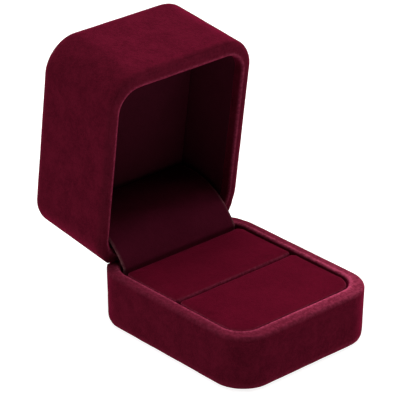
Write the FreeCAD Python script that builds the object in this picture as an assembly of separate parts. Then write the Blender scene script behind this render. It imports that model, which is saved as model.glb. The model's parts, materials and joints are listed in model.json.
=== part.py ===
import FreeCAD, Part
import collections
import math
import os

# Ring box: two velvet-covered plastic shells joined by a sprung steel hinge, standing open.
# Millimetres, +Z up. The origin is the centre of the underside. The front is at -Y and the hinge
# at +Y. The lid is built shut, in the same frame, and then turned open about the hinge pin.

# Outside of the box.
WIDTH = 52.0
DEPTH = 60.9
BASE_HEIGHT = 16.6
LID_HEIGHT = 28.8
PARTING_GAP = 0.3  # between the rims when the box is shut
BASE_CORNER = 10.1  # radius of the upright corners
LID_CORNER = 10.4
BASE_DRAFT = 0.3  # how much each side of the base narrows from the rim to the foot
LID_DRAFT = 0.15
RIM_ROUND = 1.3
FOOT_ROUND = 1.2
CROWN_ROUND = 1.8

# Layers of a wall, from the outside in.
VELVET = 0.8
GLUE = 0.05  # gap between two layers that are glued together
SIDE_WALL = 3.8  # the whole wall, at the sides
FRONT_WALL = 4.8
REAR_WALL = 4.05
LIP = 0.7  # velvet turned down inside the rim
LIP_DEPTH = 3.0
BASE_FLOOR = 2.0  # closed end of the base's shell
LID_ROOF = 1.5  # closed end of the lid's shell
LID_WALL = 1.4  # the lid's shell, past the thick band at its rim
MOUTH_CORNER = 6.4
HEM = 3.5  # velvet turned under the foot
PANEL = 1.0  # bottom panel
PANEL_PROUD = 0.2  # how far the panel stands below the hem
FIT = 0.3  # gap round a piece that is pressed in

# Hinge.
HINGE_INSET = 2.6  # from the rear face to the pin
HINGE_RISE = 0.35  # from the base's rim up to the pin
OPEN_ANGLE = 82.8
BEVEL_CLEARANCE = 0.2  # from each half's bevel to the plane through the pin
PIN_RADIUS = 0.75
KNUCKLE_BORE = 0.8
KNUCKLE_RADIUS = 1.3
KNUCKLE_CLEARANCE = 0.35
LEAF = 0.5
LEAF_HALF = 13.0
LEAF_NEAR = 1.8  # from the pin to the nearest edge of a leaf's plate
LEAF_FAR = 9.0
BASE_KNUCKLES = [(-13.0, -7.2), (7.2, 13.0)]
LID_KNUCKLES = [(-6.9, -2.8), (2.8, 6.9)]
RIVET_X = 9.5
RIVET_DROP = 5.4  # from the pin to each rivet
RIVET_RADIUS = 0.7
RIVET_HOLE = 0.75
RIVET_HEAD_RADIUS = 1.3
RIVET_HEAD = 0.5
RIVET_LENGTH = 2.6
SPRING = 0.3
SPRING_HALF = 2.0
SPRING_RADIUS = 1.4  # inside of its bend
SPRING_LEG = 7.5

# Insert and its two pads.
CARD = 0.8
PAD_TOP = 16.1
PAD_HALF = 21.9
PAD_VELVET = 0.7
SLOT_FRONT = -0.5  # the front pad's face in the ring slot
SLOT_REAR = 0.0
PAD_REAR = 21.6
PAD_REAR_CORNER = 2.6
SQUARE_CORNER = 0.4
SLOT_ROLL = 1.2  # the rear pad rolls a little into the slot
PAD_ROLL = 0.8
FLANGE_THICKNESS = 0.5
SIDE_FLANGE_TOP = 9.0
SIDE_FLANGE_FRONT = -18.0
REAR_FLANGE_HALF = 20.0
REAR_FLANGE_TOP = 14.0
REAR_FLANGE_Y = 22.2

# Flap that hides the hinge. Its upper side is one arc in the plane of the side view.
FLAP_HALF = 20.6
FLAP_VELVET = 0.6
FLAP_CARD = 0.4
FLAP_GAP = 0.15
FLAP_TAIL_Z = 9.0
FLAP_START = FreeCAD.Vector(0, 22.4, 16.5)
FLAP_MIDDLE = FreeCAD.Vector(0, 31.5, 25.0)
FLAP_END = FreeCAD.Vector(0, 45.7, 27.3)

# Inside of the lid.
LID_HOLLOW = 19.5  # from the rim to the top lining
WALL_LINING = 0.55
TOP_LINING = 0.65
TOP_LINING_SKIRT = 2.5
TOP_CARD = 1.0

TOLERANCE = 1e-6
HINGE_Y = DEPTH / 2 - HINGE_INSET
HINGE_Z = BASE_HEIGHT + HINGE_RISE
HINGE_POINT = FreeCAD.Vector(0, HINGE_Y, HINGE_Z)
ALONG_X = FreeCAD.Vector(1, 0, 0)
ALONG_Y = FreeCAD.Vector(0, 1, 0)

Plan = collections.namedtuple("Plan", "half_width front rear front_corner rear_corner")
Half = collections.namedtuple("Half", "plan draft rim end end_round floor hollow")


def inset(plan, amount):
    """The plan drawn in by amount on every side."""
    return Plan(
        plan.half_width - amount,
        plan.front + amount,
        plan.rear - amount,
        plan.front_corner - amount,
        plan.rear_corner - amount,
    )


BASE_PLAN = Plan(WIDTH / 2, -DEPTH / 2, DEPTH / 2, BASE_CORNER, BASE_CORNER)
LID_PLAN = Plan(WIDTH / 2, -DEPTH / 2, DEPTH / 2, LID_CORNER, LID_CORNER)
MOUTH = Plan(
    WIDTH / 2 - SIDE_WALL,
    FRONT_WALL - DEPTH / 2,
    DEPTH / 2 - REAR_WALL,
    MOUTH_CORNER,
    MOUTH_CORNER,
)
CAVITY = inset(MOUTH, -LIP)
BASE = Half(
    plan=BASE_PLAN,
    draft=BASE_DRAFT,
    rim=BASE_HEIGHT,
    end=PANEL_PROUD,
    end_round=FOOT_ROUND,
    floor=BASE_FLOOR,
    hollow=CAVITY,
)
LID = Half(
    plan=LID_PLAN,
    draft=LID_DRAFT,
    rim=BASE_HEIGHT + PARTING_GAP,
    end=BASE_HEIGHT + PARTING_GAP + LID_HEIGHT,
    end_round=CROWN_ROUND,
    floor=LID_ROOF,
    hollow=inset(LID_PLAN, VELVET + GLUE + LID_WALL)._replace(rear=CAVITY.rear),
)
LEAF_FRONT = HINGE_Y - KNUCKLE_RADIUS


def outline(plan, z):
    """Closed wire of a rectangle with rounded corners, at height z."""
    right = plan.half_width
    corners = [
        (right - plan.front_corner, plan.front + plan.front_corner, plan.front_corner),
        (right - plan.rear_corner, plan.rear - plan.rear_corner, plan.rear_corner),
        (plan.rear_corner - right, plan.rear - plan.rear_corner, plan.rear_corner),
        (plan.front_corner - right, plan.front + plan.front_corner, plan.front_corner),
    ]
    arcs = []
    for turn, (x, y, radius) in enumerate(corners):
        start = 90 * turn - 90
        centre = FreeCAD.Vector(x, y, z)
        arcs.append(Part.makeCircle(radius, centre, FreeCAD.Vector(0, 0, 1), start, start + 90))
    edges = []
    for arc, following in zip(arcs, arcs[1:] + arcs[:1]):
        edges.append(arc)
        edges.append(Part.makeLine(arc.lastVertex().Point, following.firstVertex().Point))
    return Part.Wire(edges)


def block(plan, low, high):
    """Upright prism over the plan."""
    return Part.Face(outline(plan, low)).extrude(FreeCAD.Vector(0, 0, high - low))


def box(x, y, z):
    """Box between pairs of limits."""
    corner = FreeCAD.Vector(x[0], y[0], z[0])
    return Part.makeBox(x[1] - x[0], y[1] - y[0], z[1] - z[0], corner)


def rounded_at(solid, z, radius):
    """The solid with every edge that lies at height z rounded."""
    edges = []
    for edge in solid.Edges:
        bounds = edge.BoundBox
        if abs(bounds.ZMin - z) < TOLERANCE and abs(bounds.ZMax - z) < TOLERANCE:
            edges.append(edge)
    return solid.makeFillet(radius, edges)


def half_block(half, layer):
    """Full block in the outer form of one half, drawn in by layer on every side."""
    towards_end = math.copysign(1, half.end - half.rim)
    rim = half.rim + towards_end * layer
    end = half.end - towards_end * layer
    rim_wire = outline(inset(half.plan, layer), rim)
    end_wire = outline(inset(half.plan, layer + half.draft), end)
    solid = Part.makeLoft([rim_wire, end_wire], True, True)
    solid = rounded_at(solid, rim, RIM_ROUND - layer)
    return rounded_at(solid, end, half.end_round - layer)


def bevel_cutter(half, offset):
    """All that lies past the bevel along one half's rear edge, which lets the lid lean back."""
    x = (-WIDTH, WIDTH)
    y = (HINGE_Y - DEPTH, HINGE_Y + DEPTH)
    if half is BASE:
        cutter = box(x, y, (HINGE_Z - offset, HINGE_Z + DEPTH))
        turn = -OPEN_ANGLE / 2
    else:
        cutter = box(x, y, (HINGE_Z - DEPTH, HINGE_Z + offset))
        turn = OPEN_ANGLE / 2
    return cutter.rotate(HINGE_POINT, ALONG_X, turn)


def rod(radius, x_low, x_high):
    """Cylinder on the hinge's axis."""
    start = FreeCAD.Vector(x_low, HINGE_Y, HINGE_Z)
    return Part.makeCylinder(radius, x_high - x_low, start, ALONG_X)


def knuckle_notch():
    """Room for the knuckles in both rear rims."""
    reach = LEAF_HALF + KNUCKLE_CLEARANCE
    return rod(KNUCKLE_RADIUS + KNUCKLE_CLEARANCE, -reach, reach)


def leaf_window():
    """Room for both hinge leaves in the soft layers inside the rear walls."""
    reach = LEAF_HALF + 2 * KNUCKLE_CLEARANCE
    height = LEAF_FAR + 2 * KNUCKLE_CLEARANCE
    y = (MOUTH.rear - LIP, CAVITY.rear)
    return box((-reach, reach), y, (HINGE_Z - height, HINGE_Z + height))


def rivet_rod(half, x, radius, y_low, y_high):
    """Cylinder on the axis of one rivet."""
    z = HINGE_Z - RIVET_DROP if half is BASE else HINGE_Z + RIVET_DROP
    return Part.makeCylinder(radius, y_high - y_low, FreeCAD.Vector(x, y_low, z), ALONG_Y)


def rivet_holes(half):
    """Holes through a leaf and into the shell behind it."""
    depth = LEAF_FRONT + RIVET_LENGTH + GLUE
    holes = [rivet_rod(half, x, RIVET_HOLE, LEAF_FRONT - GLUE, depth) for x in (-RIVET_X, RIVET_X)]
    return Part.makeCompound(holes)


def shell(half):
    """Moulded shell: the block inside the velvet, hollowed past a band at the rim to its floor."""
    towards_end = math.copysign(1, half.end - half.rim)
    layer = VELVET + GLUE
    floor = half.end - towards_end * (layer + half.floor)
    band_end = half.rim + towards_end * (LIP_DEPTH + GLUE)
    solid = half_block(half, layer)
    solid = solid.cut(block(CAVITY, *sorted((half.rim, band_end))))
    solid = solid.cut(block(half.hollow, *sorted((band_end, floor))))
    solid = solid.cut(bevel_cutter(half, BEVEL_CLEARANCE + layer))
    solid = solid.cut(knuckle_notch())
    return solid.cut(rivet_holes(half))


def velvet_cover(half):
    """Velvet over the outside and the rim, turned down inside the mouth as a lip."""
    towards_end = math.copysign(1, half.end - half.rim)
    lip_low, lip_high = sorted((half.rim, half.rim + towards_end * LIP_DEPTH))
    lip_zone = block(inset(CAVITY, GLUE), lip_low, lip_high)
    core = half_block(half, VELVET)
    core = core.cut(bevel_cutter(half, BEVEL_CLEARANCE + VELVET))
    core = core.cut(lip_zone)
    low, high = sorted((half.rim, half.end - towards_end * half.floor))
    cover = half_block(half, 0)
    cover = cover.cut(bevel_cutter(half, BEVEL_CLEARANCE))
    cover = cover.cut(block(MOUTH, low, high))
    cover = cover.cut(core)
    cover = cover.cut(knuckle_notch())
    return cover.cut(leaf_window())


def base_velvet_cover():
    """The base's velvet, turned under the foot as a hem round the bottom panel."""
    return velvet_cover(BASE).cut(block(inset(BASE.plan, HEM), 0, BASE.floor))


def base_bottom_panel():
    return block(inset(BASE.plan, HEM + FIT), 0, PANEL)


def insert_card():
    """Card tray with two low side flanges and a tall rear flange."""
    low = BASE.end + VELVET + GLUE + BASE.floor + GLUE
    half_width = CAVITY.half_width - FIT
    plan = Plan(
        half_width, CAVITY.front + FIT, REAR_FLANGE_Y, CAVITY.front_corner - FIT, SQUARE_CORNER
    )
    tray = block(plan, low, low + CARD)
    side_x = (half_width - FLANGE_THICKNESS, half_width)
    side_y = (SIDE_FLANGE_FRONT, REAR_FLANGE_Y - PAD_REAR_CORNER)
    side = box(side_x, side_y, (low, SIDE_FLANGE_TOP))
    rear = box(
        (-REAR_FLANGE_HALF, REAR_FLANGE_HALF),
        (REAR_FLANGE_Y - FLANGE_THICKNESS, REAR_FLANGE_Y),
        (low, REAR_FLANGE_TOP),
    )
    return tray.fuse([side, side.mirror(FreeCAD.Vector(0, 0, 0), ALONG_X), rear]).removeSplitter()


def pad_block(plan, front_roll, rear_roll, low, high):
    """Pad with its front and rear top edges rolled over, and its plan corners rounded."""
    solid = box((-WIDTH, WIDTH), (plan.front, plan.rear), (low, high))
    for y, roll in ((plan.front, front_roll), (plan.rear, rear_roll)):
        edge_middle = Part.Vertex(0, y, high)
        top_edge = min(solid.Edges, key=lambda edge: edge.distToShape(edge_middle)[0])
        solid = solid.makeFillet(roll, [top_edge])
    return solid.common(block(plan, low, high))


def pad(plan, front_roll, rear_roll):
    """(velvet, foam) of one pad. The velvet is open below, where the pad is glued down."""
    low = BASE.end + VELVET + GLUE + BASE.floor + GLUE + CARD + GLUE
    layer = PAD_VELVET + GLUE
    outside = pad_block(plan, front_roll, rear_roll, low, PAD_TOP)
    rolls = [roll - PAD_VELVET for roll in (front_roll, rear_roll)]
    hollow = pad_block(inset(plan, PAD_VELVET), *rolls, low, PAD_TOP - PAD_VELVET)
    rolls = [max(roll - layer, GLUE) for roll in (front_roll, rear_roll)]
    foam = pad_block(inset(plan, layer), *rolls, low, PAD_TOP - layer)
    return outside.cut(hollow), foam


def rear_pad():
    plan = Plan(PAD_HALF, SLOT_REAR, PAD_REAR, PAD_VELVET + SQUARE_CORNER, PAD_REAR_CORNER)
    return pad(plan, SLOT_ROLL, PAD_ROLL)


def front_pad():
    plan = Plan(
        PAD_HALF, MOUTH.front + FIT, SLOT_FRONT, MOUTH_CORNER - FIT, PAD_VELVET + SQUARE_CORNER
    )
    return pad(plan, PAD_ROLL, PAD_ROLL)


def hinge_leaf(half, knuckles):
    """Plate against the shell's rear wall, curled round the pin at its knuckles."""
    away = -1 if half is BASE else 1
    y = (LEAF_FRONT, LEAF_FRONT + LEAF)
    z = sorted((HINGE_Z + away * LEAF_NEAR, HINGE_Z + away * LEAF_FAR))
    leaf = box((-LEAF_HALF, LEAF_HALF), y, z)
    web_z = sorted((HINGE_Z, HINGE_Z + away * LEAF_NEAR))
    for knuckle in knuckles:
        leaf = leaf.fuse([box(knuckle, y, web_z), rod(KNUCKLE_RADIUS, *knuckle)])
    leaf = leaf.cut(rod(KNUCKLE_BORE, -WIDTH, WIDTH))
    return leaf.cut(rivet_holes(half)).removeSplitter()


def hinge_rivets(half):
    """The two rivets of one leaf."""
    rivets = []
    for x in (-RIVET_X, RIVET_X):
        shank = rivet_rod(half, x, RIVET_RADIUS, LEAF_FRONT - RIVET_HEAD, LEAF_FRONT + RIVET_LENGTH)
        head = rivet_rod(half, x, RIVET_HEAD_RADIUS, LEAF_FRONT - RIVET_HEAD, LEAF_FRONT)
        rivets.append(shank.fuse(head).removeSplitter())
    return Part.makeCompound(rivets)


def snap_spring():
    """Leaf spring with one leg on each leaf, bent round the pin by the lid's opening angle."""
    x = (-SPRING_HALF, SPRING_HALF)
    y = (HINGE_Y - SPRING_RADIUS - SPRING, HINGE_Y - SPRING_RADIUS)
    base_leg = box(x, y, (HINGE_Z - SPRING_LEG, HINGE_Z))
    lid_leg = box(x, y, (HINGE_Z, HINGE_Z + SPRING_LEG)).rotate(HINGE_POINT, ALONG_X, -OPEN_ANGLE)
    top_face = max(base_leg.Faces, key=lambda face: face.CenterOfMass.z)
    bend = top_face.revolve(HINGE_POINT, ALONG_X, -OPEN_ANGLE)
    return base_leg.fuse([bend, lid_leg]).removeSplitter()


def flap_layer(depth, thickness):
    """One layer of the flap: an arc from the pads into the lid, and a tail behind the pads."""
    circle = Part.Arc(FLAP_START, FLAP_MIDDLE, FLAP_END).toShape().Curve
    centre = circle.Center
    outer = circle.Radius - depth
    inner = outer - thickness
    directions = [(point - centre).normalize() for point in (FLAP_START, FLAP_MIDDLE, FLAP_END)]
    outer_points = [centre + direction * outer for direction in directions]
    inner_points = [centre + direction * inner for direction in directions]
    edges = [
        Part.Arc(*outer_points).toShape(),
        Part.makeLine(outer_points[-1], inner_points[-1]),
        Part.Arc(*reversed(inner_points)).toShape(),
        Part.makeLine(inner_points[0], outer_points[0]),
    ]
    side = Part.Face(Part.Wire(edges))
    side.translate(ALONG_X * -FLAP_HALF)
    bridge = side.extrude(ALONG_X * 2 * FLAP_HALF)
    tail_y = (FLAP_START.y + depth, FLAP_START.y + depth + thickness)
    tail = box((-FLAP_HALF, FLAP_HALF), tail_y, (FLAP_TAIL_Z, outer_points[0].z))
    return bridge.fuse(tail).removeSplitter()


def lid_wall_lining():
    """Backed velvet round the inner walls of the lid, from under the lip to the shell's roof."""
    outside = inset(LID.hollow, GLUE)
    inside = inset(CAVITY, GLUE + WALL_LINING)
    low = LID.rim + LIP_DEPTH + 2 * GLUE
    high = LID.end - VELVET - GLUE - LID.floor - GLUE
    return block(outside, low, high).cut(block(inside, low, high)).cut(leaf_window())


def lid_top():
    """(lining, card, foam) of the padded panel at the end of the lid's hollow."""
    plan = inset(CAVITY, GLUE + WALL_LINING + 2 * GLUE)
    inner = inset(plan, TOP_LINING + GLUE)
    face = LID.rim + LID_HOLLOW
    lining = block(plan, face, face + TOP_LINING_SKIRT)
    lining = lining.cut(block(inset(plan, TOP_LINING), face + TOP_LINING, LID.end))
    card_low = face + TOP_LINING + GLUE
    card = block(inner, card_low, card_low + TOP_CARD)
    foam_high = LID.end - VELVET - GLUE - LID.floor - GLUE
    foam = block(inner, card_low + TOP_CARD + GLUE, foam_high)
    return lining, card, foam


def opened(shape):
    """A piece of the lid, turned from shut to open."""
    return shape.rotate(HINGE_POINT, ALONG_X, -OPEN_ANGLE)


def build():
    rear_velvet, rear_foam = rear_pad()
    front_velvet, front_foam = front_pad()
    top_lining, top_card, top_foam = lid_top()
    nodes = {
        "base_shell": shell(BASE),
        "base_velvet_cover": base_velvet_cover(),
        "base_bottom_panel": base_bottom_panel(),
        "insert_card": insert_card(),
        "rear_pad_foam": rear_foam,
        "rear_pad_velvet": rear_velvet,
        "front_pad_foam": front_foam,
        "front_pad_velvet": front_velvet,
        "base_hinge_leaf": hinge_leaf(BASE, BASE_KNUCKLES),
        "base_hinge_rivets": hinge_rivets(BASE),
        "hinge_pin": rod(PIN_RADIUS, -LEAF_HALF, LEAF_HALF),
        "snap_spring": snap_spring(),
        "flap_velvet": flap_layer(0, FLAP_VELVET),
        "flap_card": flap_layer(FLAP_VELVET + FLAP_GAP, FLAP_CARD),
        "lid_shell": opened(shell(LID)),
        "lid_velvet_cover": opened(velvet_cover(LID)),
        "lid_wall_lining": opened(lid_wall_lining()),
        "lid_top_lining": opened(top_lining),
        "lid_top_card": opened(top_card),
        "lid_top_foam": opened(top_foam),
        "lid_hinge_leaf": opened(hinge_leaf(LID, LID_KNUCKLES)),
        "lid_hinge_rivets": opened(hinge_rivets(LID)),
    }
    os.makedirs("parts", exist_ok=True)
    for name, shape in nodes.items():
        if not shape.isValid():
            raise ValueError(name + " isn't a valid solid")
        shape.exportStep("parts/" + name + ".step")
        print(name, len(shape.Solids), "solids,", round(shape.Volume), "cubic mm")


build()
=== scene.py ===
import collections
import json
import math

import bmesh
import bpy
import numpy as np
from mathutils import Matrix, Vector, noise


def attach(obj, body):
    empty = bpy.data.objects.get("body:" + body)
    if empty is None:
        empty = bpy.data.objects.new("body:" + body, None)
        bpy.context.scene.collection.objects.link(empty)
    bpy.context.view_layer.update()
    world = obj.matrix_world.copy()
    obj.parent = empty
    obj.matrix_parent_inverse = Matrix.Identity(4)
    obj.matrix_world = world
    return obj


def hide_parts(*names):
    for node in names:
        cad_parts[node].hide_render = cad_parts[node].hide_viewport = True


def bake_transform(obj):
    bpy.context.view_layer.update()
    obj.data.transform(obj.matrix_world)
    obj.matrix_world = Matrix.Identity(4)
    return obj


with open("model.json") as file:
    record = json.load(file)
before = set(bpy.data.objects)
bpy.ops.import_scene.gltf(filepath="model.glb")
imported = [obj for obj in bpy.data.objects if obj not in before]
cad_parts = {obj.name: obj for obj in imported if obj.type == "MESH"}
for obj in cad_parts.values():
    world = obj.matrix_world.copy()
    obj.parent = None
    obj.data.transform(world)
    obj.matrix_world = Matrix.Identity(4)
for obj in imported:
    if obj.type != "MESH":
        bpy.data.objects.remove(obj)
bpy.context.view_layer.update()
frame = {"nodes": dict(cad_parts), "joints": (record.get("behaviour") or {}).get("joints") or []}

# The looks of a velvet ring box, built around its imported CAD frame, in the frame's coordinates:
# metres, +Z up, the origin at the centre of the underside, the front at -Y and the hinge at +Y.
# Shapes are worked out in millimetres, and new_piece() turns them into metres. Pieces of the lid
# are shaped with the lid shut, and are then turned open about the hinge pin.

MM = 0.001

# Outside of the box. What isn't here is read from the frame.
BASE_CORNER = 10.1  # radius of the upright corners
LID_CORNER = 10.4
BASE_DRAFT = 0.3  # how much each side narrows from the rim to the other end
LID_DRAFT = 0.15
BASE_RIM_ROUND = 1.2
LID_RIM_ROUND = 1.8
FOOT_ROUND = 2.0
CROWN_ROUND = 1.9
HEM = 3.5  # velvet turned under the foot
BEVEL_CLEARANCE = 0.03  # from each half's bevel to the plane through the pin
BEVEL_BAND = 8.0  # height over which the walls give way to the rear bevel
BEVEL_SOFTNESS = 0.1
TUCK = 1.0  # share of the rim's roll that is squeezed out where the halves meet
TUCK_REACH = 7.0

# The mouth of each half.
SIDE_WALL = 3.8
FRONT_WALL = 4.8
REAR_WALL = 4.05
MOUTH_CORNER = 6.4
MOUTH_ROUND = 0.9
LIP_DEPTH = 3.0
SKIN = 0.6  # thickness of the velvet
SMALLEST_CORNER = 0.05
KNUCKLE_ROOM = 1.65  # radius kept free round the hinge pin
KNUCKLE_REACH = 13.3
KNUCKLE_FADE = 1.6  # length over which that room closes up
KNUCKLE_FLOOR = 0.05  # least depth, so that a point at the pin's height stays on its own half

# How much the pile has opened and lightened, from 0 to 1: partly rubbed pile, partly a painted
# highlight where sheen catches the edges.
END_WEAR = 0.05  # round the crown and the foot
BASE_RIM_WEAR_AND_HIGHLIGHT = 0.22  # on top of a rim: rubbed pile and painted highlight
LID_RIM_WEAR_AND_HIGHLIGHT = 0.06
PAD_EDGE_HIGHLIGHT = 0.4  # painted highlight where a pad rolls over
BASE_MOUTH_HIGHLIGHT = 0.8  # painted highlight where a rim turns down inside
LID_MOUTH_HIGHLIGHT = 0.5
LIT_CORNER_HIGHLIGHT = 2.2  # painted highlight added towards the front right corner, where light from the right falls on the rim
MOUTH_HIGHLIGHT_POWER = 6  # how late, going inwards over a rim, its lightening turns into the mouth's painted highlight

# Inside of the lid.
LID_HOLLOW = 19.5  # from the rim to the top lining
LINING_INSET = 0.1  # the wall lining stands this far behind the lip
LINING_THICKNESS = 0.5
TOP_CROWN = 0.45
TOP_ROUND = 0.9
TOP_THICKNESS = 1.8
TOP_GAP = 0.05  # round the top lining
LINING_OVERLAP = 0.3  # how far the wall lining runs on behind the top lining

# Pads.
PAD_SLACK = 0.05  # each pad starts this much small and swells
PAD_CAP = 0.15  # how far a point of a pad may swell
FRONT_PAD_CORNERS = (6.1, 1.7)  # at its front and rear
REAR_PAD_CORNERS = (0.9, 2.2)
SLOT_ROLL = 0.6
PAD_ROLL = 0.5
PAD_SMALLEST_CORNER = 0.3

# Cloth simulation. Its forces suit cushions, so the small pads are swollen at ten times their size.
CLOTH_SCALE = 10
CLOTH_VOXEL = 5.0 * MM
CLOTH_PRESSURE = 4.0
CLOTH_FRAMES = 20
SMALLEST_CHANGE = 1e-9  # keeps a still point from being divided by zero

# Flap that hides the hinge: its side view, from behind the pads to its end in the lid.
FLAP_POINTS = [(22.4, 16.5), (31.5, 25.0), (45.7, 27.3)]
FLAP_HALF = 20.9
FLAP_TAIL_Z = 9.0
FLAP_THICKNESS = 0.6
FLAP_CARD_GAP = 0.15
FLAP_CARD_THICKNESS = 0.4
FLAP_CARD_HALF = 20.3
FLAP_EDGE_ROUND = 0.35
FLAP_CARD_EDGE_ROUND = 0.1

SPRING_THICKNESS = 0.3
PANEL_EDGE = 0.25  # rounding of the bottom panel

# Points along one ring of a rounded rectangle.
CORNER_STEPS = 34
WIDTH_STEPS = 64
DEPTH_STEPS = 80

# Stations along each stretch of a surface.
WALL_STEP = 0.5  # height between the stations of a wall
END_STEPS = 8
RIM_STEPS = 9
RIM_FACE_STEPS = 12
MOUTH_STEPS = 7
LIP_STEPS = 6
HEM_STEPS = 6
CAP_STEPS = 42
CAP_SHARE = 0.02  # size of the smallest ring of a closed end
LINING_STEPS = 40
TOP_ROUND_STEPS = 7
PAD_ROLL_STEPS = 14
PANEL_STEPS = 30
PANEL_EDGE_STEPS = 5
FLAP_TAIL_STEPS = 16
FLAP_ARC_STEPS = 56
FLAP_WIDTH_STEPS = 80
FLAP_EDGE_STEPS = 9
SPRING_LEG_STEPS = 8
SPRING_BEND_STEPS = 16

Plan = collections.namedtuple("Plan", "half_width front rear corner")
Station = collections.namedtuple("Station", "ring height wear")
Half = collections.namedtuple("Half", "draft end_round rim_round rim_wear mouth_wear")
Hollows = collections.namedtuple("Hollows", "spacing depth seed")
Softbox = collections.namedtuple("Softbox", "name azimuth elevation watts")

# Soft hollows in each piece of velvet, large ones first.
BASE_HOLLOWS = [Hollows(5.0, 0.10, 3.1), Hollows(1.3, 0.04, 7.7)]
LID_HOLLOWS = [Hollows(6.0, 0.10, 5.3), Hollows(1.3, 0.04, 9.1)]
WALL_LINING_HOLLOWS = [Hollows(6.0, 0.12, 1.9)]
TOP_LINING_HOLLOWS = [Hollows(7.0, 0.12, 4.4)]

# Colours, linear.
DEEP = (0.045, 0.0028, 0.0076, 1)
LIGHT = (0.094, 0.0056, 0.0158, 1)
# Paler pile along edges: rubbed pile, and painted highlight where sheen catches them.
WORN_AND_HIGHLIT = (0.38, 0.050, 0.105, 1)
PAD_DEEP = (0.064, 0.0026, 0.0092, 1)
PAD_LIGHT = (0.092, 0.0036, 0.0130, 1)
# The lid's lining: a darker copy of the outside velvet, as painted shade of the lid's hollow.
SHADED_LINING_DEEP = (0.042, 0.0052, 0.0112, 1)
SHADED_LINING_LIGHT = (0.056, 0.0068, 0.0148, 1)
FLAP_DEEP = (0.058, 0.0050, 0.0135, 1)
FLAP_LIGHT = (0.082, 0.0070, 0.0190, 1)
# Painted highlight along the flap's side edges.
FLAP_EDGE_HIGHLIGHT = (0.20, 0.08, 0.09, 1)
PLASTIC_LIGHT = (0.03, 0.03, 0.034, 1)
PLASTIC_DARK = (0.022, 0.022, 0.025, 1)
CARD_LIGHT = (0.12, 0.022, 0.035, 1)
CARD_DARK = (0.07, 0.014, 0.022, 1)
FOAM_LIGHT = (0.75, 0.72, 0.62, 1)
# Painted shade in the foam's pores.
FOAM_PORE_SHADE = (0.5, 0.46, 0.38, 1)
HINGE_LIGHT = (0.40, 0.40, 0.41, 1)
HINGE_DARK = (0.24, 0.23, 0.22, 1)
RIVET_LIGHT = (0.44, 0.43, 0.42, 1)
RIVET_DARK = (0.28, 0.27, 0.25, 1)
PIN_LIGHT = (0.42, 0.42, 0.43, 1)
PIN_DARK = (0.28, 0.27, 0.27, 1)
SPRING_LIGHT = (0.5, 0.5, 0.52, 1)
SPRING_DARK = (0.3, 0.29, 0.3, 1)
PAPER_DARK = (0.36, 0.36, 0.36, 1)
PAPER_LIGHT = (0.40, 0.40, 0.40, 1)
WHITE = (1, 1, 1, 1)
SHEEN_TINT = (1.0, 0.03, 0.17, 1)

SHEEN_ROUGHNESS = 0.35
PILE_CONTRAST = 0.5

# Sizes of the marks in each material, in millimetres. A stretch draws them out along X.
PILE_SIZE = 0.28
STROKE_SIZE = 1.1
FLECK_SIZE = 0.8
DRAWN_MARK_SIZE = 0.25
DRAWN_MARK_STRETCH = (0.06, 1, 1)
TARNISH_SIZE = 2.5
PLASTIC_CLOUD_SIZE = 9.0
PLASTIC_GRAIN_SIZE = 0.35
FIBRE_SIZE = 1.2
FIBRE_STRETCH = (0.25, 1, 1)
SPECK_SIZE = 0.4
FOAM_CELL_SIZE = 0.5
PAPER_CLOUD_SIZE = 120.0

# Set. The floor is lit from below, as a product table is.
FLOOR_GLOW = 0.90
FLOOR_SIZE = 60.0  # metres, as are the other sizes of the set
FLOOR_DROP = 0.1 * MM
WORLD_LIGHT = 0.02
BACKGROUND_WHITE = 1.0

# Softboxes round the object. Azimuth 0 is its front and 90 its right, in degrees.
SOFTBOXES = [
    Softbox("overhead", azimuth=0, elevation=90, watts=6.0),
    Softbox("high_right", azimuth=60, elevation=60, watts=0.9),
    Softbox("high_back", azimuth=180, elevation=60, watts=2.3),
    Softbox("high_left", azimuth=240, elevation=60, watts=0.65),
    Softbox("back_right", azimuth=135, elevation=30, watts=5.1),
    Softbox("back_left", azimuth=225, elevation=30, watts=1.8),
    Softbox("low_front", azimuth=45, elevation=30, watts=0.3),
    Softbox("low_right", azimuth=90, elevation=5, watts=12.0),
]
SOFTBOX_SIZE = 0.5  # metres
SOFTBOX_DISTANCE = 1.0
SOFTBOX_AIM = Vector((0, 0.01, 0.03))

CAMERA_AZIMUTH = -42.373  # degrees
CAMERA_ELEVATION = 26.185
CAMERA_ROLL = -0.378
CAMERA_AIM = Vector((0.0033, 0.0181, 0.0317))
CAMERA_DISTANCE = 0.6951
CAMERA_LENS = 225  # millimetres, as is the sensor
CAMERA_SENSOR = 36
CAMERA_NEAR = 0.01  # metres
CAMERA_FAR = 50

BASE_HALF = Half(BASE_DRAFT, FOOT_ROUND, BASE_RIM_ROUND, BASE_RIM_WEAR_AND_HIGHLIGHT, BASE_MOUTH_HIGHLIGHT)
LID_HALF = Half(LID_DRAFT, CROWN_ROUND, LID_RIM_ROUND, LID_RIM_WEAR_AND_HIGHLIGHT, LID_MOUTH_HIGHLIGHT)

hinge = frame["joints"][0]
HINGE_Y = hinge["pos_m"][1] / MM
HINGE_Z = hinge["pos_m"][2] / MM
OPEN_ANGLE = math.radians(hinge["range_deg"][1])


# Measuring the frame.


def turned(points, angle):
    """Points turned about the hinge pin."""
    moved = np.array(points, float)
    y = moved[:, 1] - HINGE_Y
    z = moved[:, 2] - HINGE_Z
    moved[:, 1] = HINGE_Y + y * math.cos(angle) - z * math.sin(angle)
    moved[:, 2] = HINGE_Z + y * math.sin(angle) + z * math.cos(angle)
    return moved


def node_box(node, angle=0.0):
    """Lowest and highest corner of a CAD node in millimetres, turned about the hinge first."""
    points = np.array([vertex.co for vertex in frame["nodes"][node].data.vertices]) / MM
    points = turned(points, angle)
    return points.min(axis=0), points.max(axis=0)


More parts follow.
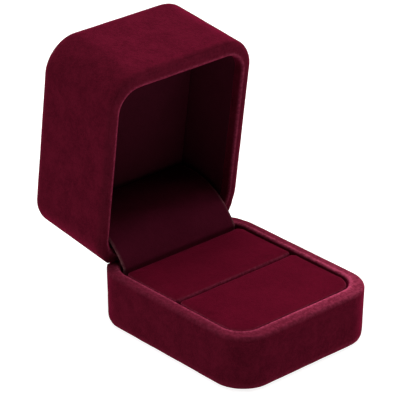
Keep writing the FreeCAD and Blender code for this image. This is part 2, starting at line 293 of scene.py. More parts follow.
BASE_LOW, BASE_HIGH = node_box("base_velvet_cover")
LID_LOW, LID_HIGH = node_box("lid_velvet_cover", OPEN_ANGLE)
PANEL_LOW, PANEL_HIGH = node_box("base_bottom_panel")
REAR_PAD_LOW, REAR_PAD_HIGH = node_box("rear_pad_velvet")
FRONT_PAD_LOW, FRONT_PAD_HIGH = node_box("front_pad_velvet")


# Shapes made of rings.


def inset(plan, amount):
    """The plan drawn in by amount on every side."""
    return Plan(
        plan.half_width - amount,
        plan.front + amount,
        plan.rear - amount,
        max(plan.corner - amount, SMALLEST_CORNER),
    )


def ring(plan):
    """Points round a rounded rectangle. Every ring has the same number, so rings can be joined."""
    right = plan.half_width - plan.corner
    front = plan.front + plan.corner
    rear = plan.rear - plan.corner
    centres = [(right, front), (right, rear), (-right, rear), (-right, front)]
    points = []
    for turn, (x, y) in enumerate(centres):
        angles = np.radians(np.linspace(90 * turn - 90, 90 * turn, CORNER_STEPS))
        round_x = x + plan.corner * np.cos(angles)
        round_y = y + plan.corner * np.sin(angles)
        following = centres[(turn + 1) % 4]
        outward = np.radians(90 * turn)
        reach = plan.corner * np.array([math.cos(outward), math.sin(outward)])
        steps = DEPTH_STEPS if turn % 2 == 0 else WIDTH_STEPS
        share = np.linspace(0, 1, steps + 1)[1:-1, None]
        side = np.array([x, y]) * (1 - share) + np.array(following) * share + reach
        points += [np.stack([round_x, round_y], 1), side]
    return np.concatenate(points)


def tube_faces(rows, count, joined=False):
    """Faces between rows of points, count in each, that run round a tube. If joined, the last
    row meets the first."""
    faces = []
    for row in range(rows if joined else rows - 1):
        this = row * count
        following = (row + 1) % rows * count
        for column in range(count):
            right = (column + 1) % count
            faces.append((this + column, this + right, following + right, following + column))
    return faces


def end_faces(rows, count):
    """The two faces that close a tube."""
    last = (rows - 1) * count
    return [tuple(range(count)), tuple(range(last + count - 1, last - 1, -1))]


def solid_of_rings(stations, capped):
    """(points, faces, lightening) of the surface through the stations, the lightening being rubbed
    pile and painted highlight. Capped, its first and last stations are closed by fans. Otherwise
    the last one is joined to the first."""
    count = len(stations[0].ring)
    points = [
        np.column_stack([station.ring, np.full(count, station.height)]) for station in stations
    ]
    wear = [np.full(count, station.wear) for station in stations]
    rows = len(stations)
    faces = tube_faces(rows, count, joined=not capped)
    if capped:
        for row in (0, rows - 1):
            middle = points[row].mean(axis=0)
            points.append(middle[None])
            wear.append(np.full(1, stations[row].wear))
            tip = rows * count + (0 if row == 0 else 1)
            faces += [(row * count + i, row * count + (i + 1) % count, tip) for i in range(count)]
    return np.concatenate(points), faces, np.concatenate(wear)


def new_piece(name, points, faces, wear=None):
    """A mesh object from millimetre points, shaded smooth."""
    mesh = bpy.data.meshes.new(name)
    mesh.from_pydata([tuple(point) for point in np.asarray(points) * MM], [], faces)
    mesh.update()
    # Per-point lightening of the velvet: rubbed pile, and painted highlight along edges.
    if wear is not None:
        mesh.attributes.new("wear", "FLOAT", "POINT").data.foreach_set("value", wear)
    shaping = bmesh.new()
    shaping.from_mesh(mesh)
    bmesh.ops.recalc_face_normals(shaping, faces=shaping.faces)
    shaping.to_mesh(mesh)
    shaping.free()
    mesh.shade_smooth()
    piece = bpy.data.objects.new(name, mesh)
    bpy.context.scene.collection.objects.link(piece)
    return piece


def ripple(piece, hollows):
    """Presses soft hollows into the surface, one kind after another."""
    mesh = piece.data
    for spacing, depth, seed in hollows:
        places = np.array([vertex.co for vertex in mesh.vertices]) / (spacing * MM)
        inward = -np.array([normal.vector for normal in mesh.vertex_normals])
        shift = Vector((seed, 2 * seed, 3 * seed))
        amounts = [0.5 + 0.5 * noise.noise(Vector(place) + shift) for place in places]
        moved = places * (spacing * MM) + inward * np.array(amounts)[:, None] * depth * MM
        mesh.vertices.foreach_set("co", moved.ravel())
        mesh.update()


def arc(radius, steps):
    """(across, along) of a rounded edge: how far each point is in from the wall and from the end
    that meet there, from (radius, 0) on the end to (0, radius) on the wall."""
    angles = np.linspace(0, math.pi / 2, steps)
    return [(radius * (1 - math.sin(a)), radius * (1 - math.cos(a))) for a in angles]


# Velvet skins of the two halves.


def mouth_plan(plan):
    """The opening inside the rim of a half whose outside is the plan."""
    return Plan(
        plan.half_width - SIDE_WALL, plan.front + FRONT_WALL, plan.rear - REAR_WALL, MOUTH_CORNER
    )


def wall_stations(half, plan, mouth, length, rim, direction):
    """Stations up one half's outside, over its rim and down inside as a lip. They start at the
    rounding of its far end, length below the rim. direction is 1 if the rim is on top."""
    draft, end_round, rim_round, rim_wear_and_highlight, mouth_highlight = half
    stations = []

    def add(ring_points, depth, wear):
        stations.append(Station(ring_points, rim - direction * depth, wear))

    for across, along in arc(end_round, END_STEPS):
        add(ring(inset(plan, draft + across)), length - along, END_WEAR)
    side = length - end_round - rim_round
    for share in np.linspace(0, 1, int(side / WALL_STEP))[1:-1]:
        depth = length - end_round - side * share
        add(ring(inset(plan, draft * depth / length)), depth, 0.0)
    outline = ring(plan)
    nearness = np.clip(1 - (plan.rear - outline[:, 1]) / TUCK_REACH, 0, 1)
    roll_share = 1 - TUCK * nearness * (2 - nearness)
    # Over the rim the velvet lightens towards the mouth: painted highlight where sheen catches the
    # rim, with some rubbed pile.
    for across, along in reversed(arc(rim_round, RIM_STEPS)):
        rolled = ring(inset(plan, across))
        placed = outline + (rolled - outline) * roll_share[:, None]
        add(placed, along * roll_share, rim_wear_and_highlight * (1 - along / rim_round))
    outer = placed
    inner = ring(inset(mouth, -MOUTH_ROUND))
    for share in np.linspace(0, 1, RIM_FACE_STEPS)[1:-1]:
        wear = rim_wear_and_highlight + (mouth_highlight - rim_wear_and_highlight) * share**MOUTH_HIGHLIGHT_POWER
        add(outer * (1 - share) + inner * share, 0.0, wear)
    for across, along in arc(MOUTH_ROUND, MOUTH_STEPS):
        add(ring(inset(mouth, -across)), along, mouth_highlight * (1 - along / MOUTH_ROUND) ** 2)
    for depth in np.linspace(MOUTH_ROUND, LIP_DEPTH, LIP_STEPS)[1:]:
        add(ring(mouth), depth, 0.0)
    return stations


def backing_stations(plan, mouth, draft, length, rim_height, direction):
    """Stations back along the hidden side of the skin, from the lip to the far end."""
    wall = [
        (inset(mouth, -SKIN), LIP_DEPTH),
        (inset(mouth, -SKIN), SKIN),
        (inset(plan, SKIN), SKIN),
        (inset(plan, SKIN + draft), length - SKIN),
    ]
    return [Station(ring(part), rim_height - direction * depth, 0.0) for part, depth in wall]


def give_way(points, direction):
    """Lowers the rear rim to its bevel, and keeps a trough free round the hinge knuckles."""
    half = OPEN_ANGLE / 2
    away = -direction
    height = away * (points[:, 2] - HINGE_Z)
    rim = height.min()
    limit = (BEVEL_CLEARANCE + (points[:, 1] - HINGE_Y) * math.sin(half)) / math.cos(half)
    shift = BEVEL_SOFTNESS * np.logaddexp(0, (limit - rim) / BEVEL_SOFTNESS)
    fade = np.clip(1 - (height - rim) / BEVEL_BAND, 0, 1)
    height = height + shift * fade
    across = points[:, 1] - HINGE_Y
    depth = np.maximum(height, KNUCKLE_FLOOR)
    distance = np.hypot(across, depth)
    fading = np.clip((np.abs(points[:, 0]) - KNUCKLE_REACH) / KNUCKLE_FADE, 0, 1)
    room = KNUCKLE_ROOM * (1 - fading**2)
    inside = distance < room
    push = np.where(inside, room / distance, 1)
    points[:, 1] = HINGE_Y + np.where(inside, across * push, across)
    points[:, 2] = HINGE_Z + away * np.where(inside, depth * push, height)
    return points


def base_cover():
    """Velvet round the base, from its hem under the foot to its lip inside the mouth."""
    plan = Plan(BASE_HIGH[0], BASE_LOW[1], BASE_HIGH[1], BASE_CORNER)
    mouth = mouth_plan(plan)
    rim = BASE_HIGH[2]
    length = rim - BASE_LOW[2]
    stations = []
    for across in np.linspace(HEM, BASE_DRAFT + FOOT_ROUND, HEM_STEPS)[:-1]:
        stations.append(Station(ring(inset(plan, across)), BASE_LOW[2], 0.0))
    stations += wall_stations(BASE_HALF, plan, mouth, length, rim, 1)
    stations += backing_stations(plan, mouth, BASE_DRAFT, length, rim, 1)
    stations.append(Station(ring(inset(plan, HEM)), BASE_LOW[2] + SKIN, 0.0))
    points, faces, wear = solid_of_rings(stations, capped=False)
    # Painted highlight: the base's edges are lightened more towards its front right corner, which
    # faces the light.
    lit_corner = np.clip((points[:, 0] - points[:, 1]) / (plan.half_width - plan.front), 0, 1)
    wear *= 1 + LIT_CORNER_HIGHLIGHT * lit_corner**2
    piece = new_piece("base_velvet", give_way(points, 1), faces, wear)
    ripple(piece, BASE_HOLLOWS)
    return piece


def lid_cover():
    """Velvet over the lid, from the middle of its crown to its lip inside the mouth."""
    plan = Plan(LID_HIGH[0], LID_LOW[1], LID_HIGH[1], LID_CORNER)
    mouth = mouth_plan(plan)
    rim = LID_LOW[2]
    length = LID_HIGH[2] - rim
    crown = ring(inset(plan, LID_DRAFT + CROWN_ROUND))
    stations = []
    for share in np.linspace(CAP_SHARE, 1, CAP_STEPS)[:-1]:
        stations.append(Station(crown * share, LID_HIGH[2], 0.0))
    stations += wall_stations(LID_HALF, plan, mouth, length, rim, -1)
    backing = backing_stations(plan, mouth, LID_DRAFT, length, rim, -1)
    stations += backing
    stations.append(Station(backing[-1].ring * CAP_SHARE, backing[-1].height, 0.0))
    points, faces, wear = solid_of_rings(stations, capped=True)
    points = turned(give_way(points, -1), -OPEN_ANGLE)
    piece = new_piece("lid_velvet", points, faces, wear)
    ripple(piece, LID_HOLLOWS)
    return piece


# Inside of the lid.


def lid_wall_lining():
    """Velvet round the inside of the lid, from under its lip to the top lining."""
    mouth = mouth_plan(Plan(LID_HIGH[0], LID_LOW[1], LID_HIGH[1], LID_CORNER))
    front = inset(mouth, -LINING_INSET)
    back = inset(front, -LINING_THICKNESS)
    low = LID_LOW[2] + LIP_DEPTH + LINING_INSET
    high = LID_LOW[2] + LID_HOLLOW + TOP_THICKNESS + LINING_OVERLAP
    heights = np.linspace(low, high, LINING_STEPS)
    stations = [Station(ring(front), height, 0.0) for height in heights]
    stations += [Station(ring(back), height, 0.0) for height in (high, low)]
    points, faces, wear = solid_of_rings(stations, capped=False)
    piece = new_piece("lid_wall_velvet", turned(points, -OPEN_ANGLE), faces, wear)
    ripple(piece, WALL_LINING_HOLLOWS)
    return piece


def lid_top_lining():
    """Padded velvet panel at the end of the lid's hollow, slightly crowned."""
    mouth = mouth_plan(Plan(LID_HIGH[0], LID_LOW[1], LID_HIGH[1], LID_CORNER))
    plan = inset(mouth, TOP_GAP)
    face = LID_LOW[2] + LID_HOLLOW
    edge = ring(inset(plan, TOP_ROUND))
    stations = []
    for share in np.linspace(CAP_SHARE, 1, CAP_STEPS)[:-1]:
        stations.append(Station(edge * share, face - TOP_CROWN * (1 - share**2) ** 2, 0.0))
    for across, along in arc(TOP_ROUND, TOP_ROUND_STEPS):
        stations.append(Station(ring(inset(plan, across)), face + along, 0.0))
    stations.append(Station(ring(plan), face + TOP_THICKNESS, 0.0))
    stations.append(Station(ring(plan) * CAP_SHARE, face + TOP_THICKNESS, 0.0))
    points, faces, wear = solid_of_rings(stations, capped=True)
    piece = new_piece("lid_top_velvet", turned(points, -OPEN_ANGLE), faces, wear)
    ripple(piece, TOP_LINING_HOLLOWS)
    return piece


# Pads of the insert.


def roll_inset(depth, radius):
    """How far a rolled edge has drawn in at that depth below the top."""
    if depth >= radius:
        return 0.0
    return radius - math.sqrt(radius**2 - (radius - depth) ** 2)


def pad_form(name, low, high, corners, rolls):
    """Closed form of a pad. corners and rolls are (front, rear)."""
    top = high[2] - PAD_SLACK
    bottom = low[2] + PAD_SLACK
    depths = np.concatenate([np.linspace(0, max(rolls), PAD_ROLL_STEPS), [top - bottom]])
    layers = []
    for depth in depths[::-1]:
        front = low[1] + PAD_SLACK + roll_inset(depth, rolls[0])
        rear = high[1] - PAD_SLACK - roll_inset(depth, rolls[1])
        side = roll_inset(depth, PAD_ROLL)
        half_width = high[0] - PAD_SLACK - side
        rounding = [max(corner - side, PAD_SMALLEST_CORNER) for corner in corners]
        layers.append(pad_ring(half_width, front, rear, rounding))
    stations = [Station(layer, top - depth, 0.0) for layer, depth in zip(layers, depths[::-1])]
    points, faces, _ = solid_of_rings(stations, capped=True)
    return new_piece(name, points, faces)


def pad_ring(half_width, front, rear, corners):
    """Points round a pad whose front and rear corners differ."""
    front_ring = ring(Plan(half_width, front, rear, corners[0]))
    rear_ring = ring(Plan(half_width, front, rear, corners[1]))
    middle = (front + rear) / 2
    return np.where(front_ring[:, 1:] < middle, front_ring, rear_ring)


def swell(piece):
    """Swells a pad like stuffed cloth, by a little, and leaves it rounded and smooth."""
    mesh = piece.data
    mesh.transform(Matrix.Scale(CLOTH_SCALE, 4))
    remesh = piece.modifiers.new("remesh", "REMESH")
    remesh.mode = "VOXEL"
    remesh.voxel_size = CLOTH_VOXEL
    apply_modifiers(piece)
    rest = mesh_points(piece)
    cloth = piece.modifiers.new("cloth", "CLOTH")
    cloth.settings.use_pressure = True
    cloth.settings.uniform_pressure_force = CLOTH_PRESSURE
    cloth.settings.effector_weights.gravity = 0
    for number in range(1, CLOTH_FRAMES + 1):
        bpy.context.scene.frame_set(number)
    apply_modifiers(piece)
    bpy.context.scene.frame_set(1)
    change = mesh_points(piece) - rest
    length = np.linalg.norm(change, axis=1, keepdims=True)
    cap = PAD_CAP * MM * CLOTH_SCALE
    change *= cap * np.tanh(length / cap) / np.maximum(length, SMALLEST_CHANGE)
    piece.data.vertices.foreach_set("co", (rest + change).ravel())
    piece.data.transform(Matrix.Scale(1 / CLOTH_SCALE, 4))
    smooth = piece.modifiers.new("smooth", "SUBSURF")
    smooth.levels = 1
    smooth.render_levels = 1
    apply_modifiers(piece)
    piece.data.shade_smooth()
    upward = np.clip([normal.vector.z for normal in piece.data.vertex_normals], 0, 1)
    rolling = 4 * upward * (1 - upward)  # 0 on the flat top and on the sides, and up to 1 between
    # Painted highlight along the pad's rolled edges.
    wear = PAD_EDGE_HIGHLIGHT * rolling
    piece.data.attributes.new("wear", "FLOAT", "POINT").data.foreach_set("value", wear)
    return piece


def mesh_points(piece):
    points = np.zeros(len(piece.data.vertices) * 3)
    piece.data.vertices.foreach_get("co", points)
    return points.reshape(-1, 3)


def apply_modifiers(piece):
    """Makes the modified mesh the piece's own."""
    graph = bpy.context.evaluated_depsgraph_get()
    shaped = bpy.data.meshes.new_from_object(piece.evaluated_get(graph), depsgraph=graph)
    piece.modifiers.clear()
    piece.data = shaped


def rear_pad():
    form = pad_form(
        "rear_pad",
        REAR_PAD_LOW,
        REAR_PAD_HIGH,
        corners=REAR_PAD_CORNERS,
        rolls=(SLOT_ROLL, PAD_ROLL),
    )
    return swell(form)


def front_pad():
    form = pad_form(
        "front_pad",
        FRONT_PAD_LOW,
        FRONT_PAD_HIGH,
        corners=FRONT_PAD_CORNERS,
        rolls=(PAD_ROLL, PAD_ROLL),
    )
    return swell(form)


# Flap over the hinge.


def circle_through(points):
    """(centre, radius) of the circle through three points of a plane."""
    (ax, ay), (bx, by), (cx, cy) = points
    rows = np.array([[bx - ax, by - ay], [cx - ax, cy - ay]]) * 2
    sums = np.array([bx**2 - ax**2 + by**2 - ay**2, cx**2 - ax**2 + cy**2 - ay**2])
    centre = np.linalg.solve(rows, sums)
    return centre, math.hypot(ax - centre[0], ay - centre[1])


def flap_line():
    """(y, z) along the flap's upper side, from its tail behind the pads to its end in the lid."""
    centre, radius = circle_through(FLAP_POINTS)
    start, end = [
        math.atan2(z - centre[1], y - centre[0]) for y, z in (FLAP_POINTS[0], FLAP_POINTS[-1])
    ]
    bridge = [
        (centre[0] + radius * math.cos(a), centre[1] + radius * math.sin(a))
        for a in np.linspace(start, end, FLAP_ARC_STEPS)
    ]
    rear_y, rear_z = FLAP_POINTS[0]
    tail = [(rear_y, z) for z in np.linspace(FLAP_TAIL_Z, rear_z, FLAP_TAIL_STEPS)[:-1]]
    return np.array(tail + bridge)


def normals_of(line):
    """Unit normals on the upper side of a line in the side view."""
    along = np.gradient(line, axis=0)
    along /= np.linalg.norm(along, axis=1, keepdims=True)
    return np.stack([-along[:, 1], along[:, 0]], 1)


def flap_section(half_width, thickness, edge_round):
    """(x, depth) round one layer of the flap, with rounded side edges."""
    reach = half_width - edge_round
    across = np.linspace(-reach, reach, FLAP_WIDTH_STEPS)
    turns = np.linspace(0, math.pi, FLAP_EDGE_STEPS)[1:-1]
    section = [(x, 0.0) for x in across]
    for turn in turns:
        x = reach + edge_round * math.sin(turn)
        section.append((x, thickness * (1 - math.cos(turn)) / 2))
    section += [(x, thickness) for x in across[::-1]]
    for turn in turns:
        x = -reach - edge_round * math.sin(turn)
        section.append((x, thickness * (1 + math.cos(turn)) / 2))
    return np.array(section)


def flap_layer(name, depth, thickness, half_width, edge_round):
    """One layer of the flap, depth below its upper side."""
    line = flap_line()
    upward = normals_of(line)
    section = flap_section(half_width, thickness, edge_round)
    count = len(section)
    points = []
    wear = []
    for (y, z), (ny, nz) in zip(line, upward):
        below = depth + section[:, 1]
        points.append(np.column_stack([section[:, 0], y - ny * below, z - nz * below]))
        # Painted highlight along the flap's side edges.
        lit_edge = np.clip(1 - (half_width - np.abs(section[:, 0])) / (2 * edge_round), 0, 1)
        wear.append(lit_edge)
    faces = tube_faces(len(line), count) + end_faces(len(line), count)
    return new_piece(name, np.concatenate(points), faces, np.concatenate(wear))


def snap_spring():
    """Leaf spring with a leg on each hinge leaf, bent round the pin."""
    low, high = node_box("snap_spring")
    radius = HINGE_Y - low[1]
    leg = HINGE_Z - low[2]
    shares = np.linspace(1, 0, SPRING_LEG_STEPS)
    line = [(HINGE_Y - radius, HINGE_Z - leg * share) for share in shares[:-1]]
    for angle in np.linspace(0, OPEN_ANGLE, SPRING_BEND_STEPS):
        line.append((HINGE_Y - radius * math.cos(angle), HINGE_Z + radius * math.sin(angle)))
    y, z = line[-1]
    for share in np.linspace(0, 1, SPRING_LEG_STEPS)[1:]:
        reach = leg * share
        line.append((y + reach * math.sin(OPEN_ANGLE), z + reach * math.cos(OPEN_ANGLE)))
    line = np.array(line)
    inner = line - normals_of(line) * SPRING_THICKNESS
    corners = 4
    points = []
    for outside, inside in zip(line, inner):
        points += [(low[0], *outside), (high[0], *outside), (high[0], *inside), (low[0], *inside)]
    faces = tube_faces(len(line), corners) + end_faces(len(line), corners)
    piece = new_piece("snap_spring_leaf", points, faces)
    piece.data.shade_flat()
    return piece


def bottom_panel():
    """Panel under the base, with a soft edge."""
    plan = Plan(PANEL_HIGH[0], PANEL_LOW[1], PANEL_HIGH[1], BASE_CORNER - HEM)
    edge = ring(inset(plan, PANEL_EDGE))
    stations = []
    for share in np.linspace(CAP_SHARE, 1, PANEL_STEPS)[:-1]:
        stations.append(Station(edge * share, PANEL_LOW[2], 0.0))
    for across, along in arc(PANEL_EDGE, PANEL_EDGE_STEPS):
        stations.append(Station(ring(inset(plan, across)), PANEL_LOW[2] + along, 0.0))
    stations.append(Station(ring(plan), PANEL_HIGH[2], 0.0))
    stations.append(Station(ring(plan) * CAP_SHARE, PANEL_HIGH[2], 0.0))
    points, faces, wear = solid_of_rings(stations, capped=True)
    return new_piece("bottom_panel_cover", points, faces, wear)


# Materials.


class Nodes:
    """A material's node tree, with short calls to add and join its nodes."""

    MIX_A = 6  # the colour sockets of a Mix node
    MIX_B = 7
    MIX_RESULT = 2

    def __init__(self, name, roughness, specular, metallic=0.0):
        self.material = bpy.data.materials.new(name)
        self.material.use_nodes = True
        self.tree = self.material.node_tree
        self.shader = self.tree.nodes["Principled BSDF"]
        self.shader.inputs["Roughness"].default_value = roughness
        self.shader.inputs["Specular IOR Level"].default_value = specular
        self.shader.inputs["Metallic"].default_value = metallic
        self.place = self.add("ShaderNodeTexCoord").outputs["Object"]

    def add(self, kind, **settings):
        node = self.tree.nodes.new(kind)
        for key, value in settings.items():
            setattr(node, key, value)
        return node

    def put(self, value, socket):
        """Joins an output to a socket, or sets the socket to a plain value."""
        if isinstance(value, bpy.types.NodeSocket):
            self.tree.links.new(value, socket)
        else:
            socket.default_value = value

    def noise(self, size, detail=2.0, roughness=0.5, stretch=None):
        """Noise whose features are size millimetres across, as a value about 0.5."""
        node = self.add("ShaderNodeTexNoise")
        node.inputs["Scale"].default_value = 1 / (size * MM)
        node.inputs["Detail"].default_value = detail
        node.inputs["Roughness"].default_value = roughness
        place = self.place
        if stretch is not None:
            mapping = self.add("ShaderNodeMapping")
            mapping.inputs["Scale"].default_value = stretch
            self.put(place, mapping.inputs["Vector"])
            place = mapping.outputs["Vector"]
        self.put(place, node.inputs["Vector"])
        return node.outputs["Fac"]

    def spread(self, value, low, high, to_low=0.0, to_high=1.0):
        """The value, stretched smoothly from low..high to to_low..to_high."""
        node = self.add("ShaderNodeMapRange", interpolation_type="SMOOTHSTEP")
        for socket, number in zip(node.inputs, (value, low, high, to_low, to_high)):
            self.put(number, socket)
        return node.outputs["Result"]

    def math(self, operation, a, b):
        """A sum or product of two values."""
        node = self.add("ShaderNodeMath", operation=operation)
        self.put(a, node.inputs[0])
        self.put(b, node.inputs[1])
        return node.outputs["Value"]

    def mix(self, share, a, b):
        """A colour between a and b."""
        node = self.add("ShaderNodeMix", data_type="RGBA")
        self.put(share, node.inputs["Factor"])
        self.put(a, node.inputs[self.MIX_A])
        self.put(b, node.inputs[self.MIX_B])
        return node.outputs[self.MIX_RESULT]

    def bump(self, height, strength, depth):
        """Relief on the surface, depth in millimetres."""
        node = self.add("ShaderNodeBump")
        node.inputs["Strength"].default_value = strength
        node.inputs["Distance"].default_value = depth * MM
        self.put(height, node.inputs["Height"])
        self.put(node.outputs["Normal"], self.shader.inputs["Normal"])


def velvet(name, deep, light, sheen, patch_size, mottle, worn_and_highlit=None):
    """Short-pile velvet: a deep colour that lightens where the pile leans, and that turns paler
    along the edges that its mesh attribute marks, as rubbed pile and painted highlight."""
    nodes = Nodes(name, roughness=0.95, specular=0.0)
    patches = nodes.noise(patch_size, detail=3.0, roughness=0.6)
    patches = nodes.spread(patches, low=0.34, high=0.68)
    strokes = nodes.noise(STROKE_SIZE, detail=3.0, roughness=0.7)
    strokes = nodes.spread(strokes, low=0.33, high=0.70)
    pile = nodes.noise(PILE_SIZE, detail=2.0, roughness=0.6)
    pile = nodes.spread(pile, low=0.3, high=0.7)
    blotches = nodes.math("MULTIPLY", nodes.math("ADD", patches, strokes), mottle)
    tone = nodes.math("ADD", blotches, nodes.math("MULTIPLY", pile, PILE_CONTRAST))
    colour = nodes.mix(tone, deep, light)
    if worn_and_highlit:
        # Painted highlight, with some rubbed pile: the mesh attribute turns edges towards the paler
        # colour.
        edge = nodes.add("ShaderNodeAttribute", attribute_name="wear").outputs["Fac"]
        flecks = nodes.noise(FLECK_SIZE, detail=3.0, roughness=0.7)
        flecks = nodes.spread(flecks, low=0.36, high=0.66, to_low=0.35)
        colour = nodes.mix(nodes.math("MULTIPLY", edge, flecks), colour, worn_and_highlit)
    nodes.put(colour, nodes.shader.inputs["Base Color"])
    nodes.shader.inputs["Sheen Weight"].default_value = sheen
    nodes.shader.inputs["Sheen Roughness"].default_value = SHEEN_ROUGHNESS
    nodes.shader.inputs["Sheen Tint"].default_value = SHEEN_TINT
    nodes.bump(nodes.math("ADD", pile, strokes), strength=0.35, depth=0.08)
    return nodes.material


def steel(name, light, dark, roughness):
    """Drawn steel with fine marks along its length and a little tarnish."""
    nodes = Nodes(name, roughness=roughness, specular=0.5, metallic=1.0)
    marks = nodes.noise(DRAWN_MARK_SIZE, detail=3.0, roughness=0.6, stretch=DRAWN_MARK_STRETCH)
    tarnish = nodes.noise(TARNISH_SIZE, detail=3.0, roughness=0.6)
    tarnish = nodes.spread(tarnish, low=0.45, high=0.75)
    smooth = roughness - 0.08
    rough = roughness + 0.12
    dullness = nodes.spread(marks, low=0.3, high=0.7, to_low=smooth, to_high=rough)
    nodes.put(nodes.mix(tarnish, light, dark), nodes.shader.inputs["Base Color"])
    nodes.put(dullness, nodes.shader.inputs["Roughness"])
    nodes.bump(marks, strength=0.25, depth=0.02)
    return nodes.material


def moulded_plastic(name, light, dark):
    """Plain plastic with faint clouds and a fine moulded grain."""
    nodes = Nodes(name, roughness=0.55, specular=0.4)
    clouds = nodes.spread(nodes.noise(PLASTIC_CLOUD_SIZE), low=0.35, high=0.65)
    grain = nodes.noise(PLASTIC_GRAIN_SIZE, detail=3.0, roughness=0.6)
    dullness = nodes.spread(grain, low=0.3, high=0.7, to_low=0.45, to_high=0.65)
    nodes.put(nodes.mix(clouds, light, dark), nodes.shader.inputs["Base Color"])
    nodes.put(dullness, nodes.shader.inputs["Roughness"])
    nodes.bump(grain, strength=0.3, depth=0.04)
    return nodes.material


def card(name, light, dark):
    """Dyed card with long fibres and darker specks."""
    nodes = Nodes(name, roughness=0.85, specular=0.2)
    fibres = nodes.noise(FIBRE_SIZE, detail=4.0, roughness=0.7, stretch=FIBRE_STRETCH)
    specks = nodes.noise(SPECK_SIZE, detail=2.0, roughness=0.6)
    specks = nodes.spread(specks, low=0.55, high=0.75)
    fibre_tone = nodes.math("MULTIPLY", fibres, 0.8)
    speck_tone = nodes.math("MULTIPLY", specks, 0.3)
    tone = nodes.math("ADD", fibre_tone, speck_tone)
    nodes.put(nodes.mix(tone, light, dark), nodes.shader.inputs["Base Color"])
    nodes.bump(fibres, strength=0.3, depth=0.05)
    return nodes.material


def foam(name, light, dark):
    """Open foam: small cells, darker in the middle than at their walls, as painted shade in the
    pores.
    """
    nodes = Nodes(name, roughness=0.95, specular=0.1)
    cells = nodes.add("ShaderNodeTexVoronoi")
    cells.inputs["Scale"].default_value = 1 / (FOAM_CELL_SIZE * MM)
    nodes.put(nodes.place, cells.inputs["Vector"])
    walls = nodes.spread(cells.outputs["Distance"], low=0.1, high=0.7)
    nodes.put(nodes.mix(walls, dark, light), nodes.shader.inputs["Base Color"])
    nodes.bump(walls, strength=0.6, depth=0.1)
    return nodes.material


def glowing_paper(name, glow):
    """Paper with faint clouds, lit from behind."""
    nodes = Nodes(name, roughness=0.9, specular=0.05)
    clouds = nodes.noise(PAPER_CLOUD_SIZE)
    nodes.put(nodes.mix(clouds, PAPER_DARK, PAPER_LIGHT), nodes.shader.inputs["Base Color"])
    nodes.shader.inputs["Emission Color"].default_value = WHITE
    nodes.shader.inputs["Emission Strength"].default_value = glow
    return nodes.material


def paint(piece, material):
    piece.data.materials.clear()
    piece.data.materials.append(material)


def place(piece, material, slot, replaced, body=None):
    """Gives a new piece its finish, hides the CAD nodes it stands for, and ties it to the body it
    moves with.
    """
    paint(piece, material)
    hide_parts(*replaced)
    if body:
        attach(piece, body)


# Set.


def add_floor():
    bpy.ops.mesh.primitive_plane_add(size=FLOOR_SIZE, location=(0, 0, -FLOOR_DROP))
    floor = bpy.context.object
    floor.name = "floor"
    paint(floor, glowing_paper("floor", FLOOR_GLOW))


def towards(azimuth, elevation):
    """Unit vector from the object towards a place, its angles in degrees."""
    around = math.radians(azimuth)
    up = math.radians(elevation)
    level = math.cos(up)
    return Vector((math.sin(around) * level, -math.cos(around) * level, math.sin(up)))


def add_softbox(softbox):
    data = bpy.data.lights.new(softbox.name, "AREA")
    data.shape = "SQUARE"
    data.size = SOFTBOX_SIZE
    data.energy = softbox.watts
    lamp = bpy.data.objects.new(softbox.name, data)
    away = towards(softbox.azimuth, softbox.elevation)
    lamp.location = SOFTBOX_AIM + away * SOFTBOX_DISTANCE
    lamp.rotation_mode = "QUATERNION"
    lamp.rotation_quaternion = (-away).to_track_quat("-Z", "Y")
    bpy.context.scene.collection.objects.link(lamp)


def add_world():
    """A white background that lights the box only faintly."""
    world = bpy.data.worlds.new("studio")
    world.use_nodes = True
    tree = world.node_tree
    background = tree.nodes["Background"]
    background.inputs["Color"].default_value = WHITE
    path = tree.nodes.new("ShaderNodeLightPath")
    strength = tree.nodes.new("ShaderNodeMapRange")
    strength.inputs["To Min"].default_value = WORLD_LIGHT
    strength.inputs["To Max"].default_value = BACKGROUND_WHITE
    tree.links.new(path.outputs["Is Camera Ray"], strength.inputs["Value"])
    tree.links.new(strength.outputs["Result"], background.inputs["Strength"])
    bpy.context.scene.world = world


def add_camera():
    data = bpy.data.cameras.new("camera")
    data.lens = CAMERA_LENS
    data.sensor_width = CAMERA_SENSOR
    data.clip_start = CAMERA_NEAR
    data.clip_end = CAMERA_FAR
    camera = bpy.data.objects.new("camera", data)
    back = towards(CAMERA_AZIMUTH, CAMERA_ELEVATION)
    upright = (-back).to_track_quat("-Z", "Y").to_matrix()
    rolled = upright @ Matrix.Rotation(-math.radians(CAMERA_ROLL), 3, "Z")
    camera.matrix_world = Matrix.Translation(CAMERA_AIM + back * CAMERA_DISTANCE) @ rolled.to_4x4()
    bpy.context.scene.collection.objects.link(camera)
    bpy.context.scene.camera = camera


# Finishes.
outside_velvet = velvet("velvet", DEEP, LIGHT, sheen=0.26, patch_size=5.0, mottle=0.34, worn_and_highlit=WORN_AND_HIGHLIT)
pad_velvet = velvet(
    "velvet_pad", PAD_DEEP, PAD_LIGHT, sheen=0.16, patch_size=9.0, mottle=0.35, worn_and_highlit=WORN_AND_HIGHLIT
)
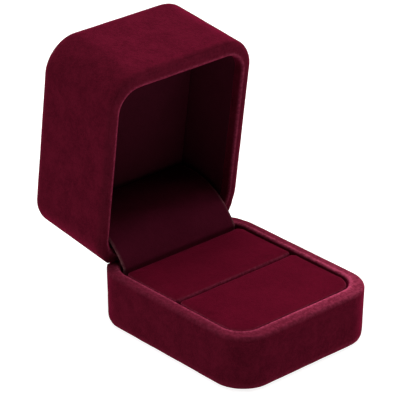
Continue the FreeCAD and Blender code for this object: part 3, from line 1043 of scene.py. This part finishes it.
# Darker lining: painted shade inside the lid.
shaded_lining_velvet = velvet(
    "velvet_lining", SHADED_LINING_DEEP, SHADED_LINING_LIGHT, sheen=0.06, patch_size=9.0, mottle=0.35
)
flap_velvet = velvet(
    "velvet_flap", FLAP_DEEP, FLAP_LIGHT, sheen=0.12, patch_size=9.0, mottle=0.35, worn_and_highlit=FLAP_EDGE_HIGHLIGHT
)
panel_velvet = velvet("bottom_panel", DEEP, LIGHT, sheen=0.12, patch_size=3.0, mottle=0.45)
plastic = moulded_plastic("shell_plastic", PLASTIC_LIGHT, PLASTIC_DARK)
dyed_card = card("card", CARD_LIGHT, CARD_DARK)
pale_foam = foam("foam", FOAM_LIGHT, FOAM_PORE_SHADE)
hinge_steel = steel("hinge_steel", HINGE_LIGHT, HINGE_DARK, roughness=0.42)
rivet_steel = steel("rivet_steel", RIVET_LIGHT, RIVET_DARK, roughness=0.38)
pin_steel = steel("pin_steel", PIN_LIGHT, PIN_DARK, roughness=0.32)
spring_steel = steel("spring_steel", SPRING_LIGHT, SPRING_DARK, roughness=0.35)

CAD_FINISHES = {
    "base_shell": plastic,
    "lid_shell": plastic,
    "insert_card": dyed_card,
    "lid_top_card": dyed_card,
    "rear_pad_foam": pale_foam,
    "front_pad_foam": pale_foam,
    "lid_top_foam": pale_foam,
    "base_hinge_leaf": hinge_steel,
    "lid_hinge_leaf": hinge_steel,
    "base_hinge_rivets": rivet_steel,
    "lid_hinge_rivets": rivet_steel,
    "hinge_pin": pin_steel,
}
for node, finish in CAD_FINISHES.items():
    paint(frame["nodes"][node], finish)

# Pieces of the two halves.
place(base_cover(), outside_velvet, "velvet", ["base_velvet_cover"], "base")
place(lid_cover(), outside_velvet, "velvet", ["lid_velvet_cover"], "lid")
place(lid_wall_lining(), shaded_lining_velvet, "velvet_lining", ["lid_wall_lining"], "lid")

top = lid_top_lining()
place(top, shaded_lining_velvet, "velvet_lining", ["lid_top_lining"], "lid")

rear = rear_pad()
place(rear, pad_velvet, "velvet_pad", ["rear_pad_velvet", "rear_pad_foam"], "base")
front = front_pad()
place(front, pad_velvet, "velvet_pad", ["front_pad_velvet", "front_pad_foam"], "base")

# Pieces on the hinge.
flap = flap_layer("flap", 0.0, FLAP_THICKNESS, FLAP_HALF, FLAP_EDGE_ROUND)
place(flap, flap_velvet, "velvet_flap", ["flap_velvet"])
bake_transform(flap)
flap_stiffener = flap_layer(
    "flap_stiffener",
    FLAP_THICKNESS + FLAP_CARD_GAP,
    FLAP_CARD_THICKNESS,
    FLAP_CARD_HALF,
    FLAP_CARD_EDGE_ROUND,
)
place(flap_stiffener, dyed_card, "card", ["flap_card"])
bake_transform(flap_stiffener)

spring = snap_spring()
place(spring, spring_steel, "spring_steel", ["snap_spring"])
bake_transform(spring)

# Underside and set.
place(bottom_panel(), panel_velvet, "bottom_panel", ["base_bottom_panel"], "base")

add_floor()
for softbox in SOFTBOXES:
    add_softbox(softbox)
add_world()
add_camera()
bpy.context.scene.view_settings.view_transform = "Standard"
